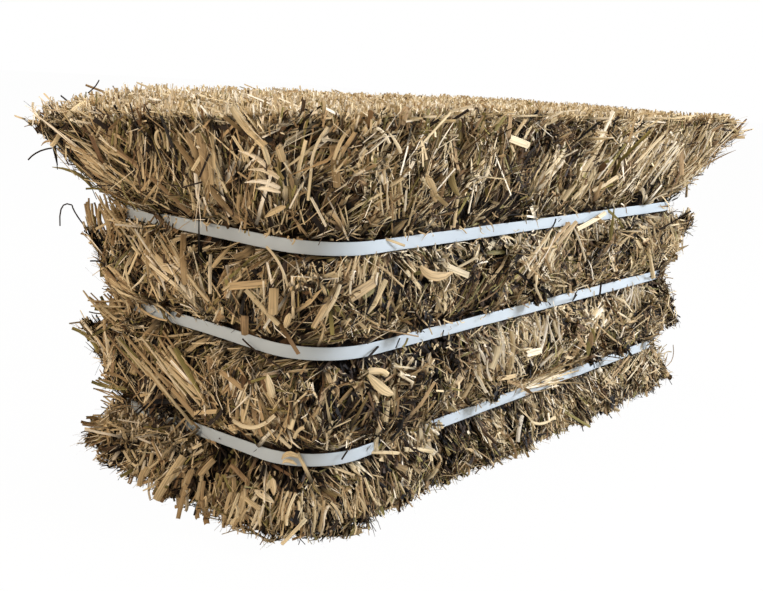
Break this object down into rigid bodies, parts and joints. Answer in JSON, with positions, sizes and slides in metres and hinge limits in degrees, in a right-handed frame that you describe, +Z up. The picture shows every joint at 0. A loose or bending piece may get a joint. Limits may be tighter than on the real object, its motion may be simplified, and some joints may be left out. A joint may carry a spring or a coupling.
{
  "type": "square straw bale",
  "caption": "Rectangular block of pressed straw flakes lying on its side, tied round with flat plastic straps, with loose locks splaying out at its ends and top.",
  "frame": {"origin": "centre of the bale's rectangular footprint, on the ground it lies on", "axes": "+X along the bale's length, +Y across it away from the long side with no strap welds, +Z up"},
  "size_m": [1.0987, 0.5406, 0.4824],
  "materials": {
    "straw": "matt dry straw",
    "strapping": "satin, slightly see-through white polypropylene"
  },
  "bodies": {
    "root": {"flake_01": "straw", "flake_02": "straw", "flake_03": "straw", "flake_04": "straw", "flake_05": "straw", "flake_06": "straw", "flake_07": "straw", "flake_08": "straw", "flake_09": "straw", "flake_10": "straw", "strap_lower": "strapping", "strap_middle": "strapping", "strap_upper": "strapping"}
  },
  "joints": []
}
